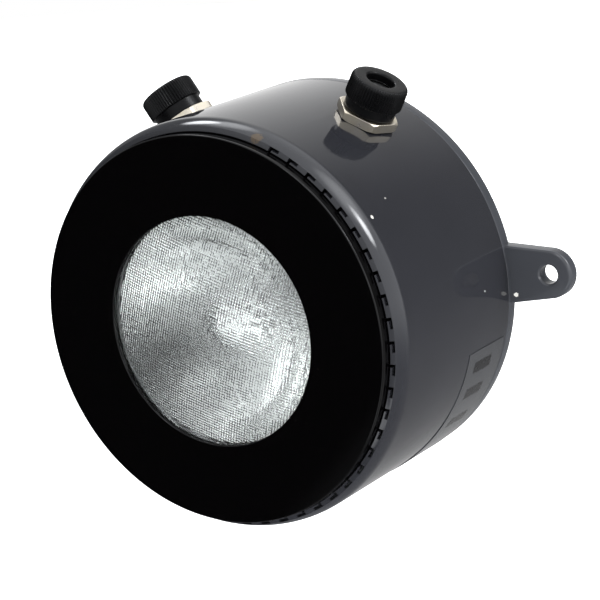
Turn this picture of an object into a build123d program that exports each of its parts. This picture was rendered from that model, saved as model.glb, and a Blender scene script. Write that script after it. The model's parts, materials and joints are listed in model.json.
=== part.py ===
from build123d import *
from math import cos, radians, sin
import os

# A wall-mounted drum lamp. Millimetres, +Z up, +X towards the right-hand lug, and the
# light leaves along -Y. The origin is midway between the two lug holes, on the wall plane.

# ---- driving dimensions ----
depth = 114.0              # wall plane to the front ring's face
drum_r = 95.0
drum_wall = 2.0
joint_y = -8.0             # where the drum meets the base plate

lug_reach = 115.0          # axis to lug hole
lug_end_r = 11.5
lug_root_half = 14.3
lug_thick = 6.5
lug_hole_r = 4.5

ring_r = 89.6              # front ring, outside
ring_open_r = 53.0
ring_thick = 2.5
spigot_wall = 2.0
spigot_back = 11.5         # behind the front ring's face

lip_front = 6.0            # drum lip, behind the front ring's face
lip_thick = 1.6
lip_in_r = 90.0
lip_out_r = 92.4
shoulder_back = 15.5
finger_count = 55
finger_start = 4.2         # degrees above +X of the first slit
plain_fingers = range(33, 46)
slit_reach = 3.2           # degrees, along the lip
slit_mouth = 0.95          # degrees, across the lip
slit_width = 1.2

gland_half_angle = 31.4    # each side of straight up
gland_y = -40.4
gland_thread_r = 10.0
gland_bore_r = 7.0
nut_flats = 26.0
nut_thick = 4.3
nut_turns = {"left": -4.7, "right": -16.8}
cap_r = 13.45
skirt_r = 12.0
cable_hole_r = 6.6
seal_bore_r = 5.5
knurl_count = 64

lamp_r = 57.0
rim_in_r = 53.0            # the reflector's mouth
lens_in_r = 55.0           # inside the lens's rim
shoulder_r = 55.9          # foot of the lens's rounded shoulder
dome_r = 53.0
dome_edge_y = -111.06
dome_rise = 5.44
lens_glass = 4.0
lamp_rim_y = -107.5        # front of the lamp's rim
lamp_joint_y = -104.8      # lens meets reflector
lamp_seat_y = -102.0
reflector_vertex_y = -50.0
reflector_back_y = -47.0
boss_r = 14.0
boss_y = -46.0
post_r = 0.8
post_x = 5.0
terminal_x = 8.0
lead_y = -43.4

baffle_y = -101.0
baffle_thick = 1.5
baffle_open_r = 53.9
baffle_screw_r = 80.0
baffle_angles = (90, 210, 330)
retaining_angles = (30, 150, 270)
retaining_screw_r = 64.5

block_angles = (30, 150, 210, 330)
block_screw_r = 84.0

terminal_block_z = -45.0
terminal_block_size = (62.0, 16.0, 20.0)
floor_y = -5.0             # inside face of the base plate
lead_r = 1.5

drum_inner_r = drum_r - drum_wall
front_y = -depth


# ---- helpers ----
def turned(*edges):
    """A solid of revolution about the lamp's axis, from edges given as (radius, y)."""
    return revolve(make_face(Curve() + list(edges)), Axis.Y)


def turned_points(*points):
    return turned(Polyline(*points, close=True))


def tube(inner, outer, y_low, y_high):
    return turned_points((inner, y_low), (outer, y_low), (outer, y_high), (inner, y_high))


def rod(radius, y_low, y_high, x=0.0, z=0.0):
    """A round bar along Y."""
    base = Plane(origin=(x, y_low, z), x_dir=(1, 0, 0), z_dir=(0, 1, 0))
    return extrude(base * Circle(radius), y_high - y_low)


def box_between(low, high):
    size = [b - a for a, b in zip(low, high)]
    middle = [(a + b) / 2 for a, b in zip(low, high)]
    return Pos(*middle) * Box(*size)


def around(radius, degrees):
    """X and Z of a point at a radius and an angle up from +X."""
    return radius * cos(radians(degrees)), radius * sin(radians(degrees))


def turned_to(degrees):
    """Turns a piece built at +X to its angle about the lamp's axis."""
    return Rot(Y=-degrees)


def sector(inner, outer, start, sweep):
    """A flat ring sector, seen along the lamp's axis."""
    edges = [
        CenterArc((0, 0), outer, start, sweep),
        CenterArc((0, 0), inner, start, sweep),
    ]
    sides = [Line(edges[0] @ end, edges[1] @ end) for end in (0, 1)]
    return make_face(Curve() + edges + sides)


def pan_screw(head_r, head_h, shank_r, head_y, tip_y, x, z, slot=0.9):
    """A slotted pan-head screw along Y whose head is in front."""
    head = rod(head_r, head_y - head_h, head_y, x, z)
    cut = box_between(
        (x - head_r, head_y - head_h, z - slot / 2),
        (x + head_r, head_y - head_h / 2, z + slot / 2),
    )
    return head - cut + rod(shank_r, head_y, tip_y, x, z)


def hex_nut(flats, thick, bore_r, spin=0.0):
    """A hexagon nut standing on z = 0, its corners chamfered at both faces."""
    corner_r = flats / 2 / cos(radians(30))
    prism = extrude(RegularPolygon(corner_r, 6, rotation=spin), thick)
    rounding = Pos(Z=thick / 2) * Cylinder(corner_r, thick)
    rounding = chamfer(rounding.edges(), 0.12 * thick, 0.3 * thick)
    return (prism & rounding) - Pos(Z=thick / 2) * Cylinder(bore_r, 2 * thick)


# ---- drum ----
def gland_frame(side):
    """The frame on the drum's surface whose Z is the gland's axis and X is the lamp's +Y."""
    angle = 90 + gland_half_angle * (1 if side == "left" else -1)
    x, z = around(1.0, angle)
    return Plane(origin=(drum_r * x, gland_y, drum_r * z), x_dir=(0, 1, 0), z_dir=(x, 0, z))


gland_frames = {side: gland_frame(side) for side in ("left", "right")}


def drum_shell():
    lip_y = front_y + lip_front
    lip_corner_r = lip_out_r - 1.3
    shoulder_y = front_y + shoulder_back
    outer = [
        Line((lip_in_r, lip_y), (lip_out_r, lip_y)),
        TangentArc((drum_r, shoulder_y), (lip_out_r, lip_y), tangent=(0, -1)),
        Line((drum_r, shoulder_y), (drum_r, joint_y)),
        Line((drum_r, joint_y), (drum_inner_r, joint_y)),
    ]
    inner = [
        Line((drum_inner_r, joint_y), (drum_inner_r, shoulder_y)),
        TangentArc((drum_inner_r, shoulder_y), (lip_corner_r, lip_y + lip_thick), tangent=(0, -1)),
        Line((lip_corner_r, lip_y + lip_thick), (lip_in_r, lip_y + lip_thick)),
        Line((lip_in_r, lip_y + lip_thick), (lip_in_r, lip_y)),
    ]
    shell = turned(*outer, *inner)

    # L-shaped slits free a row of spring fingers in the lip
    slit_r = lip_out_r - 0.25
    slit_face = Plane(origin=(0, lip_y - 1, 0), x_dir=(1, 0, 0), z_dir=(0, 1, 0))
    across = sector(lip_in_r - 1, slit_r, 0, slit_mouth)
    along = sector(slit_r - slit_width, slit_r, 0, slit_reach)
    one = extrude(slit_face * (across + along), lip_thick + 1.5)
    turns = [360 * i / finger_count for i in range(finger_count) if i not in plain_fingers]
    shell -= [Rot(Y=turn - finger_start) * one for turn in turns]

    for frame in gland_frames.values():
        shell -= frame * Pos(Z=-2) * Cylinder(gland_thread_r + 0.2, 12)
    return shell


def screw_blocks():
    """Threaded blocks welded inside the back of the drum for the base screws."""
    blocks = []
    for angle in block_angles:
        x, z = around(block_screw_r, angle)
        block = turned_to(angle) * box_between((78.5, -30, -7), (94, -17, 7))
        block &= rod(drum_inner_r, -30, -17)
        blocks.append(block - rod(2.0, -28, -16, x, z))
    return Compound(children=blocks)


# ---- base ----
def base_plate():
    corner = 2.5
    profile = [
        Line((0, 0), (drum_r - corner, 0)),
        ThreePointArc(
            (drum_r - corner, 0),
            (drum_r - corner * (1 - cos(radians(45))), -corner * (1 - sin(radians(45)))),
            (drum_r, -corner),
        ),
        Polyline(
            (drum_r, -corner),
            (drum_r, joint_y),
            (drum_inner_r - 0.2, joint_y),
            (drum_inner_r - 0.2, -10),
            (90.9, -10),
            (90.9, -12),
            (drum_inner_r - 0.2, -12),
            (drum_inner_r - 0.2, -16),
            (88.8, -16),
            (88.8, floor_y),
            (0, floor_y),
            (0, 0),
        ),
    ]
    plate = turned(*profile)

    face = Plane(origin=(0, 0, 0), x_dir=(1, 0, 0), z_dir=(0, -1, 0))
    for side in (1, -1):
        root_x, root_half = side * 84.0, lug_root_half + 0.6
        root = Line((root_x, -root_half), (root_x, root_half))
        end = Pos(side * lug_reach, 0) * Circle(lug_end_r)
        lug = extrude(face * make_hull(end.edges() + root.edges()), lug_thick)
        front_edges = lug.edges().group_by(Axis.Y)[0]
        lug = fillet([e for e in front_edges if side * e.center().X > 85], 1.6)
        lug -= rod(86.0, -20, 5)
        plate += lug
        plate -= rod(lug_hole_r, -20, 5, side * lug_reach)
        mouth = Cone(lug_hole_r, lug_hole_r + 0.8, 0.8)
        mouth = Pos(side * lug_reach, -lug_thick + 0.4, 0) * Rot(X=90) * mouth
        plate -= mouth

    for angle in block_angles:
        x, z = around(block_screw_r, angle)
        plate -= rod(2.15, -20, 1, x, z)
        plate -= Pos(x, -1.1, z) * Rot(X=-90) * Cone(2.15, 4.2, 2.2)
    for x, z in ((-24, terminal_block_z), (24, terminal_block_z)):
        plate -= rod(1.5, floor_y - 1, -1.5, x, z)
    plate -= rod(2.0, floor_y - 1, -1.5, 45, -18)
    return plate


def base_screws():
    """Countersunk screws from the wall side into the drum's blocks."""
    screws = []
    for angle in block_angles:
        x, z = around(block_screw_r, angle)
        head = Pos(x, -1.1, z) * Rot(X=-90) * Cone(2.0, 4.05, 2.2)
        shank = rod(2.0, -27, -2.2, x, z)
        slot = box_between((x - 5, -0.9, z - 0.5), (x + 5, 0.5, z + 0.5))
        screws.append(head + shank - slot)
    return Compound(children=screws)


# ---- lamp support ----
def baffle_plate():
    plate = tube(baffle_open_r, drum_inner_r - 0.3, baffle_y, baffle_y + baffle_thick)
    for angle in baffle_angles:
        plate -= rod(2.0, -110, -90, *around(baffle_screw_r, angle))
    for angle in retaining_angles:
        plate -= rod(1.5, -110, -90, *around(retaining_screw_r, angle))
    return plate


def baffle_brackets():
    """Angle brackets welded inside the drum, one behind each baffle screw."""
    back = baffle_y + baffle_thick
    foot_y = front_y + shoulder_back
    brackets = []
    for angle in baffle_angles:
        shelf = box_between((73, back, -8), (92, back + 2, 8))
        foot = box_between((90.5, foot_y, -8), (94, foot_y + 15, 8))
        bracket = turned_to(angle) * (shelf + foot)
        bracket &= rod(drum_inner_r, back - 1, foot_y + 20)
        brackets.append(bracket - rod(2.0, -110, -90, *around(baffle_screw_r, angle)))
    return Compound(children=brackets)


def ring_of_screws(angles, pitch_r, head_r, head_h, shank_r, head_y, tip_y):
    places = [around(pitch_r, angle) for angle in angles]
    screws = [pan_screw(head_r, head_h, shank_r, head_y, tip_y, x, z) for x, z in places]
    return Compound(children=screws)


def retaining_ring():
    """A pressed ring that holds the lamp's rim down on the baffle."""
    skin = 1.1
    ring = turned_points(
        (56.0, lamp_rim_y - skin),
        (lamp_r + 0.8 + skin, lamp_rim_y - skin),
        (lamp_r + 0.8 + skin, baffle_y - skin),
        (69.5, baffle_y - skin),
        (69.5, baffle_y),
        (lamp_r + 0.8, baffle_y),
        (lamp_r + 0.8, lamp_rim_y),
        (56.0, lamp_rim_y),
    )
    for angle in retaining_angles:
        ring -= rod(1.5, -110, -90, *around(retaining_screw_r, angle))
    return ring


# ---- lamp ----
def cap_arc(edge_r, edge_y, rise):
    """A spherical cap's section, from its edge to its apex on the axis, bulging to -Y."""
    ball_r = (edge_r**2 + rise**2) / (2 * rise)
    centre_y = edge_y - rise + ball_r
    middle = (edge_r / 2, centre_y - (ball_r**2 - edge_r**2 / 4) ** 0.5)
    return ThreePointArc((edge_r, edge_y), middle, (0, edge_y - rise))


def lamp_lens():
    apex = dome_edge_y - dome_rise
    inner_rise = dome_rise + 1.2
    inner_apex = apex + lens_glass
    inner_edge = (lens_in_r, inner_apex + inner_rise)
    profile = [
        Line((lamp_r, lamp_rim_y), (shoulder_r, lamp_rim_y)),
        TangentArc((shoulder_r, lamp_rim_y), (dome_r, dome_edge_y), tangent=(0, -1)),
        cap_arc(dome_r, dome_edge_y, dome_rise),
        Line((0, apex), (0, inner_apex)),
        cap_arc(*inner_edge, inner_rise),
        Polyline(
            inner_edge, (lens_in_r, lamp_joint_y), (lamp_r, lamp_joint_y), (lamp_r, lamp_rim_y)
        ),
    ]
    return turned(*profile)


def lamp_reflector():
    """A glass paraboloid with a flat boss at its back for the terminals."""
    rim_in, rim_out = rim_in_r, 53.2
    four_f = rim_out**2 / (reflector_back_y - lamp_seat_y)
    boss_edge_y = reflector_back_y - boss_r**2 / four_f
    tangent_y = reflector_back_y - boss_r * rim_out / four_f
    profile = [
        Bezier(
            (0, reflector_vertex_y),
            (rim_in / 2, reflector_vertex_y),
            (rim_in, lamp_joint_y),
        ),
        Polyline(
            (rim_in, lamp_joint_y),
            (lamp_r, lamp_joint_y),
            (lamp_r, lamp_seat_y),
            (rim_out, lamp_seat_y),
        ),
        Bezier(
            (rim_out, lamp_seat_y),
            ((rim_out + boss_r) / 2, tangent_y),
            (boss_r, boss_edge_y),
        ),
        Polyline((boss_r, boss_edge_y), (boss_r, boss_y), (0, boss_y), (0, reflector_vertex_y)),
    ]
    bowl = turned(*profile)
    for side in (1, -1):
        bowl -= rod(post_r, -60, -40, side * post_x)
    return bowl


filament_y = -61.4
filament_r = 1.2


def filament_posts():
    tip_y = filament_y + filament_r
    return Compound(children=[rod(post_r, tip_y, boss_y, x) for x in (-post_x, post_x)])


def lamp_filament():
    return Pos(0, filament_y, 0) * Rot(Y=90) * Cylinder(filament_r, 2 * post_x + 2)


def lamp_terminals():
    studs = []
    for side in (1, -1):
        stud = rod(4.2, boss_y, -40, side * terminal_x)
        stud -= rod(1.3, lead_y, -39, side * terminal_x)
        stud -= Pos(side * terminal_x, lead_y, -3) * Cylinder(lead_r + 0.1, 6)
        studs.append(stud)
    return Compound(children=studs)


def lamp_terminal_screws():
    screws = []
    for side in (1, -1):
        x = side * terminal_x
        head = rod(2.8, -40, -38.2, x) - box_between((x - 3, -39, -0.4), (x + 3, -38, 0.4))
        screws.append(head + rod(1.3, -41.8, -40, x))
    return Compound(children=screws)


# ---- wiring ----
def terminal_block():
    width, height, length = terminal_block_size
    front = floor_y - height
    low = (-width / 2, front, terminal_block_z - length / 2)
    high = (width / 2, floor_y, terminal_block_z + length / 2)
    block = box_between(low, high)
    for x in terminal_ways():
        block -= Pos(x, -13, terminal_block_z) * Cylinder(2.2, length + 2)
        for z in terminal_rows():
            block -= rod(2.3, front - 1, -13, x, z)
    for x in (-24, 24):
        block -= rod(1.7, front - 1, floor_y + 1, x, terminal_block_z)
        block -= rod(3.2, front - 1, front + 3, x, terminal_block_z)
    return block


def terminal_ways():
    return (-16, -terminal_x, terminal_x, 16)


def terminal_rows():
    return (terminal_block_z - 5.5, terminal_block_z + 5.5)


def terminal_barrels():
    """Brass barrels inside the block, open at both ends."""
    length = terminal_block_size[2] - 2
    barrels = []
    for x in terminal_ways():
        barrel = Pos(x, -13, terminal_block_z) * Cylinder(2.2, length)
        barrel -= Pos(x, -13, terminal_block_z) * Cylinder(1.6, length + 2)
        barrels.append(barrel)
    return Compound(children=barrels)


def terminal_clamp_screws():
    front = floor_y - terminal_block_size[1]
    screws = []
    for x in terminal_ways():
        for z in terminal_rows():
            body = rod(2.1, front + 1.5, -15.2, x, z)
            slot = box_between((x - 3, front + 1, z - 0.4), (x + 3, front + 2.4, z + 0.4))
            screws.append(body - slot)
    return Compound(children=screws)


def block_fixing_screws():
    front = floor_y - terminal_block_size[1]
    places = [(-24, terminal_block_z), (24, terminal_block_z)]
    screws = [pan_screw(3.0, 2.0, 1.5, front + 3, -2, x, z) for x, z in places]
    return Compound(children=screws)


def lamp_lead(x):
    """One lead: down from its lamp terminal, back over an easy bend, and down into the block."""
    top = terminal_block_z + terminal_block_size[2] / 2
    route = FilletPolyline(
        (x, lead_y, -1.5),
        (x, lead_y, -19),
        (x, -13, -21),
        (x, -13, top - 0.4),
        radius=[9.5, 9.5],
    )
    return sweep(Plane(route @ 0, z_dir=route % 0) * Circle(lead_r), path=route)


def earth_stud():
    return rod(2.0, -20, -2, 45, -18)


def earth_washer():
    return rod(4.5, floor_y - 0.8, floor_y, 45, -18) - rod(2.0, -20, 0, 45, -18)


def earth_nuts():
    nuts = []
    for y in (floor_y - 0.8, floor_y - 5.2):
        nuts.append(Pos(45, y, -18) * Rot(X=90) * hex_nut(7.0, 3.2, 2.0))
    return Compound(children=nuts)


# ---- front ring ----
def front_ring():
    back = front_y + spigot_back
    edge = 1.1
    inner_r = ring_r - spigot_wall
    ring = turned_points(
        (ring_open_r, front_y),
        (ring_r, front_y),
        (ring_r, back),
        (inner_r, back),
        (inner_r, front_y + ring_thick),
        (ring_open_r, front_y + ring_thick),
    )
    front_edges = ring.edges().group_by(Axis.Y)[0]
    return fillet(front_edges, edge)


def front_gasket():
    return tube(57.0, 62.5, front_y + ring_thick, front_y + ring_thick + 1.6)


# ---- glands, built along +Z from the drum's surface ----
def gland_body():
    flange_low, flange_high, top = -6.5, -3.2, 13.0
    seat_z, seat_r = 8.0, 8.6
    body = Pos(Z=(flange_low + top) / 2) * Cylinder(gland_thread_r, top - flange_low)
    flange = Pos(Z=(flange_low + flange_high) / 2) * Cylinder(13.5, flange_high - flange_low)
    body += chamfer(flange.edges(), 0.5)
    body -= Pos(Z=3) * Cylinder(gland_bore_r, 30)
    body -= Pos(Z=seat_z + 5) * Cylinder(seat_r, 10)
    return body


def gland_washer():
    ring = Pos(Z=-2.2) * (Cylinder(13.5, 2.0) - Cylinder(gland_thread_r, 4))
    return ring


def gland_seal():
    low, high = 8.0, 15.3
    seal = Pos(Z=(low + high) / 2) * Cylinder(8.5, high - low)
    seal = chamfer(seal.edges(), 0.6)
    return seal - Pos(Z=12) * Cylinder(seal_bore_r, 20)


def gland_slip_ring():
    return Pos(Z=15.95) * (Cylinder(9.8, 0.9) - Cylinder(6.9, 3))


def gland_cap():
    bottom, knurl_low, knurl_high, roof, top = nut_thick + 0.3, 9.8, 18.9, 16.5, 20.3
    crown_r = 10.9
    fine = 180 / knurl_count
    radii = [cap_r, cap_r - 0.45]
    star = [
        around(radii[i % 2], i * fine) for i in range(2 * knurl_count)
    ]
    knurl = extrude(make_face(Polyline(*star, close=True)), top)
    outline = make_face(
        Curve()
        + [
            Polyline((crown_r, top), (0, top), (0, bottom), (skirt_r, bottom)),
            Polyline((skirt_r, bottom), (skirt_r, knurl_low), (cap_r, knurl_low)),
            Line((cap_r, knurl_low), (cap_r, knurl_high)),
            ThreePointArc((cap_r, knurl_high), (12.75, 19.85), (crown_r, top)),
        ]
    )
    blank = revolve(Plane.XZ * outline, Axis.Z)
    skirt = Pos(Z=(bottom + knurl_low) / 2) * Cylinder(skirt_r, knurl_low - bottom)
    cap = (blank & knurl) + skirt
    cap -= Pos(Z=(bottom + roof) / 2 - 1) * Cylinder(gland_thread_r + 0.07, roof - bottom + 2)
    cap -= Pos(Z=top) * Cylinder(cable_hole_r, 12)
    cap -= Pos(Z=top - 0.7) * Cone(cable_hole_r, cable_hole_r + 1.0, 1.4)
    return cap


# ---- label ----
def label_plate():
    thick = 0.3
    start, sweep_angle = -17.3, -56.0
    y_low, y_high = -43.5, -11.0
    face = Plane(origin=(0, y_low, 0), x_dir=(1, 0, 0), z_dir=(0, 1, 0))
    plate = sector(drum_r, drum_r + thick, -start, -sweep_angle)
    return extrude(face * plate, y_high - y_low)


# ---- every node, in place ----
nodes = {
    "drum_shell": drum_shell(),
    "screw_blocks": screw_blocks(),
    "base_plate": base_plate(),
    "base_seal": tube(90.9, drum_inner_r, -12, -10),
    "base_screws": base_screws(),
    "baffle_plate": baffle_plate(),
    "baffle_brackets": baffle_brackets(),
    "baffle_screws": ring_of_screws(baffle_angles, baffle_screw_r, 3.6, 2.6, 2.0, baffle_y, -95),
    "retaining_ring": retaining_ring(),
    "retaining_screws": ring_of_screws(
        retaining_angles, retaining_screw_r, 2.9, 2.2, 1.5, baffle_y - 1.1, -97
    ),
    "lamp_lens": lamp_lens(),
    "lamp_reflector": lamp_reflector(),
    "lamp_gasket": tube(54.2, 57.4, lamp_seat_y, baffle_y),
    "filament_posts": filament_posts(),
    "lamp_filament": lamp_filament(),
    "lamp_terminals": lamp_terminals(),
    "lamp_terminal_screws": lamp_terminal_screws(),
    "terminal_block": terminal_block(),
    "terminal_barrels": terminal_barrels(),
    "terminal_clamp_screws": terminal_clamp_screws(),
    "block_fixing_screws": block_fixing_screws(),
    "lamp_lead_live": lamp_lead(terminal_x),
    "lamp_lead_neutral": lamp_lead(-terminal_x),
    "earth_stud": earth_stud(),
    "earth_washer": earth_washer(),
    "earth_nuts": earth_nuts(),
    "front_ring": front_ring(),
    "front_gasket": front_gasket(),
    "label_plate": label_plate(),
}
for side, frame in gland_frames.items():
    nodes[f"gland_body_{side}"] = frame * gland_body()
    nodes[f"gland_washer_{side}"] = (frame * gland_washer()) & rod(drum_inner_r, -60, -20)
    nodes[f"gland_locknut_{side}"] = frame * hex_nut(
        nut_flats, nut_thick, gland_thread_r, nut_turns[side]
    )
    nodes[f"gland_seal_{side}"] = frame * gland_seal()
    nodes[f"gland_slip_ring_{side}"] = frame * gland_slip_ring()
    nodes[f"gland_cap_{side}"] = frame * gland_cap()

os.makedirs("parts", exist_ok=True)
for name, shape in nodes.items():
    export_step(shape, f"parts/{name}.step")
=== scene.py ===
import json
from math import acos, atan2, cos, hypot, pi, radians, sin, sqrt, tan, tau

import bmesh
import bpy
from mathutils import Matrix, Vector


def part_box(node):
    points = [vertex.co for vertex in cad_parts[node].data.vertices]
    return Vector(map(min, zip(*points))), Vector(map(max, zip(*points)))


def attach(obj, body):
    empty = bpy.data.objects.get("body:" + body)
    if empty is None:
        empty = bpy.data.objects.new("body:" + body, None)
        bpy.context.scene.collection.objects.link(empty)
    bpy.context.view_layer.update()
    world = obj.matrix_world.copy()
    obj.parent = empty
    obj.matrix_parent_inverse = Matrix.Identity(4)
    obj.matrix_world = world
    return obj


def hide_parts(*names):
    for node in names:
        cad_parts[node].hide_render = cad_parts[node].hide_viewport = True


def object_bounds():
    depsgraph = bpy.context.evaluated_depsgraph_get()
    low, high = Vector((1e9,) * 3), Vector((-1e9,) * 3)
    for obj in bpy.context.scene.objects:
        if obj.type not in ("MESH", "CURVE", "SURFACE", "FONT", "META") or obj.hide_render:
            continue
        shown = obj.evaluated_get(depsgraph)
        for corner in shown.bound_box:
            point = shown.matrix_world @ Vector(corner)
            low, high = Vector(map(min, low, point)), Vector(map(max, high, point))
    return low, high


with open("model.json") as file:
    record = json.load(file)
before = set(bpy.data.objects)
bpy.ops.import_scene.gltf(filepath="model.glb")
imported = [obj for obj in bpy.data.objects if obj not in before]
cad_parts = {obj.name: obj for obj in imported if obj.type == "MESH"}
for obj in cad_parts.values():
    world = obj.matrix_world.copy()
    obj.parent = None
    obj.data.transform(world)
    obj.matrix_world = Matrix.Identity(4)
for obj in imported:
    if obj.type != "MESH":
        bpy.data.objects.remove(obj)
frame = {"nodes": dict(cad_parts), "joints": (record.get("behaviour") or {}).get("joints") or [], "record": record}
cad_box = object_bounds()
nodes = frame["nodes"]
joints = {joint["name"]: joint for joint in frame["joints"]}
SIDES = ("left", "right")

# Sections are (radius, height). On the lamp's own axis, height runs from the wall to the front.
LAMP = Matrix(((1, 0, 0, 0), (0, 0, -1, 0), (0, 1, 0, 0), (0, 0, 0, 1)))

# ---- sizes, in metres, from the frame's own boxes ----
drum_low, drum_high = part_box("drum_shell")
DRUM_R = drum_high.x
LIP_H = -drum_low.y
JOINT_H = -drum_high.y
ring_low, ring_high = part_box("front_ring")
FACE_H = -ring_low.y
RING_R = ring_high.x
SPIGOT_H = -ring_high.y
lens_low, lens_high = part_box("lamp_lens")
LENS_TOP_H = -lens_low.y
LENS_SEAT_H = -lens_high.y
LAMP_R = lens_high.x
LUG_TIP_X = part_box("base_plate")[1].x

WALL = 0.002
OPENING_R = 0.053


# ---- mesh helpers ----
def link(name, mesh):
    piece = bpy.data.objects.new(name, mesh)
    bpy.context.scene.collection.objects.link(piece)
    return piece


def finish_shape(name, shape, sharp=38):
    """A linked object from a bmesh: welded, normals out, smooth but for its sharp edges."""
    bmesh.ops.remove_doubles(shape, verts=shape.verts, dist=1e-7)
    bmesh.ops.dissolve_degenerate(shape, edges=shape.edges, dist=1e-7)
    bmesh.ops.recalc_face_normals(shape, faces=shape.faces)
    mesh = bpy.data.meshes.new(name)
    shape.to_mesh(mesh)
    shape.free()
    mesh.shade_smooth()
    mesh.set_sharp_from_angle(angle=radians(sharp))
    return link(name, mesh)


def shape_from(points, faces):
    mesh = bpy.data.meshes.new("draft")
    mesh.from_pydata([tuple(p) for p in points], [], faces)
    shape = bmesh.new()
    shape.from_mesh(mesh)
    bpy.data.meshes.remove(mesh)
    return shape


def rounded(*corners, steps=5):
    """A closed section from (radius, height, rounding) corners, an arc at each rounded one."""
    points = []
    for i, (r, h, rounding) in enumerate(corners):
        here = Vector((r, h))
        if not rounding:
            points.append((r, h))
            continue
        before = (Vector(corners[i - 1][:2]) - here).normalized()
        after = (Vector(corners[(i + 1) % len(corners)][:2]) - here).normalized()
        half = acos(max(-1.0, min(1.0, before.dot(after)))) / 2
        centre = here + (before + after).normalized() * rounding / sin(half)
        start = here + before * rounding / tan(half) - centre
        end = here + after * rounding / tan(half) - centre
        turn = atan2(start.x * end.y - start.y * end.x, start.dot(end))
        for k in range(steps + 1):
            a = turn * k / steps
            points.append(
                (
                    centre.x + start.x * cos(a) - start.y * sin(a),
                    centre.y + start.x * sin(a) + start.y * cos(a),
                )
            )
    return points


def grid_faces(columns, rows, wrap_columns=True, wrap_rows=True):
    """Quads over points stored column by column."""
    faces = []
    for i in range(columns if wrap_columns else columns - 1):
        for k in range(rows if wrap_rows else rows - 1):
            j, m = (i + 1) % columns, (k + 1) % rows
            faces.append((i * rows + k, j * rows + k, j * rows + m, i * rows + m))
    return faces


def turned_shape(section, steps, place=LAMP, closed=True, radius=None):
    """A turned shape. radius(r, h, angle) may change the section's radius round the turn."""
    points = []
    for i in range(steps):
        a = tau * i / steps
        for r, h in section:
            r = radius(r, h, a) if radius else r
            points.append(place @ Vector((r * cos(a), r * sin(a), h)))
    return shape_from(points, grid_faces(steps, len(section), wrap_rows=closed))


def turned(name, section, steps=256, place=LAMP, sharp=38, radius=None):
    return finish_shape(name, turned_shape(section, steps, place, radius=radius), sharp)


def prism_shape(loops, place=LAMP):
    """A solid through equal loops of (x, y, height) points, capped at both ends."""
    count = len(loops[0])
    points = [place @ Vector(p) for loop in loops for p in loop]
    faces = grid_faces(len(loops), count, wrap_columns=False)
    faces.append(tuple(range(count)))
    faces.append(tuple(range((len(loops) - 1) * count, len(loops) * count)))
    return shape_from(points, faces)


def joined(shapes):
    whole = bmesh.new()
    for shape in shapes:
        draft = bpy.data.meshes.new("draft")
        shape.to_mesh(draft)
        whole.from_mesh(draft)
        bpy.data.meshes.remove(draft)
        shape.free()
    return whole


def combine(piece, shapes, operation, sharp=38):
    """Cuts shapes from the piece, or adds them to it."""
    other = finish_shape("draft_tool", joined(shapes))
    modifier = piece.modifiers.new("combine", "BOOLEAN")
    modifier.operation = operation
    modifier.solver = "EXACT"
    modifier.object = other
    bpy.context.view_layer.update()
    graph = bpy.context.evaluated_depsgraph_get()
    result = bpy.data.meshes.new_from_object(piece.evaluated_get(graph))
    piece.modifiers.clear()
    piece.data = result
    bpy.data.objects.remove(other)
    result.shade_smooth()
    result.set_sharp_from_angle(angle=radians(sharp))


def polar(r, degrees_up, h):
    a = radians(degrees_up)
    return (r * cos(a), r * sin(a), h)


def cylinder_shape(r, low, high, x=0.0, y=0.0, place=LAMP, steps=48, top_r=None):
    loops = []
    for radius, h in ((r, low), (r if top_r is None else top_r, high)):
        turns = [tau * i / steps for i in range(steps)]
        loops.append([(x + radius * cos(a), y + radius * sin(a), h) for a in turns])
    return prism_shape(loops, place)


def gland_place(side):
    """The gland's frame: height from the drum's surface, x along the lamp's +Y."""
    turn = joints[f"cap_{side}_turn"]
    z = Vector(turn["axis"]).normalized()
    x = Vector((0, 1, 0))
    y = z.cross(x)
    place = Matrix((x, y, z)).transposed().to_4x4()
    place.translation = Vector(turn["pos_m"])
    return place


# ---- materials ----
def add_node(tree, kind, inputs, settings):
    """A shader node whose inputs are values or other nodes' outputs."""
    made = tree.nodes.new(kind)
    for key, value in settings.items():
        setattr(made, key, value)
    for key, value in (inputs or {}).items():
        if isinstance(value, bpy.types.NodeSocket):
            tree.links.new(value, made.inputs[key])
        else:
            made.inputs[key].default_value = value
    return made


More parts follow.
